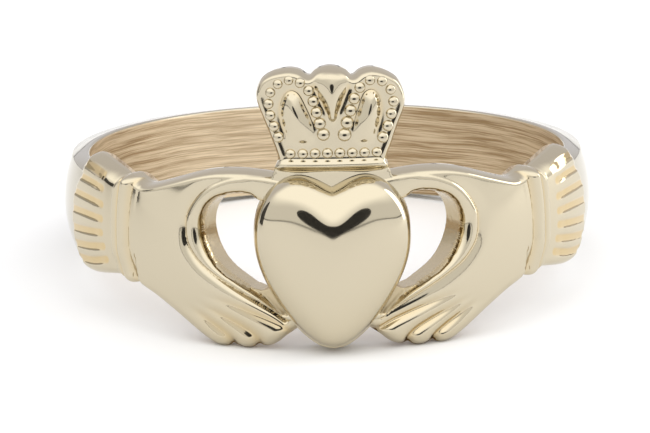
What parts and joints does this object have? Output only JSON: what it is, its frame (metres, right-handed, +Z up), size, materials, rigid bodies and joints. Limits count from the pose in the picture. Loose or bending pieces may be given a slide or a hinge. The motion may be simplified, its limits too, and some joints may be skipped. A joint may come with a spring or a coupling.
{
  "type": "claddagh ring",
  "caption": "Finger ring cast as two cuffed hands that hold a domed heart under a beaded crown, with an open gap between each hand and the heart.",
  "frame": {"origin": "middle of the finger hole, on its axis and halfway across the band's width", "axes": "+Z up with the ring lying on its side, +Y from the heart to the back of the band, +X to the right seen from the heart's side"},
  "size_m": [0.0192, 0.0208, 0.0105],
  "materials": {
    "gold": "polished pale yellow gold of 10 karat, as cast and polished, a little brushed inside the band"
  },
  "bodies": {
    "root": {"ring": "gold"}
  },
  "joints": []
}
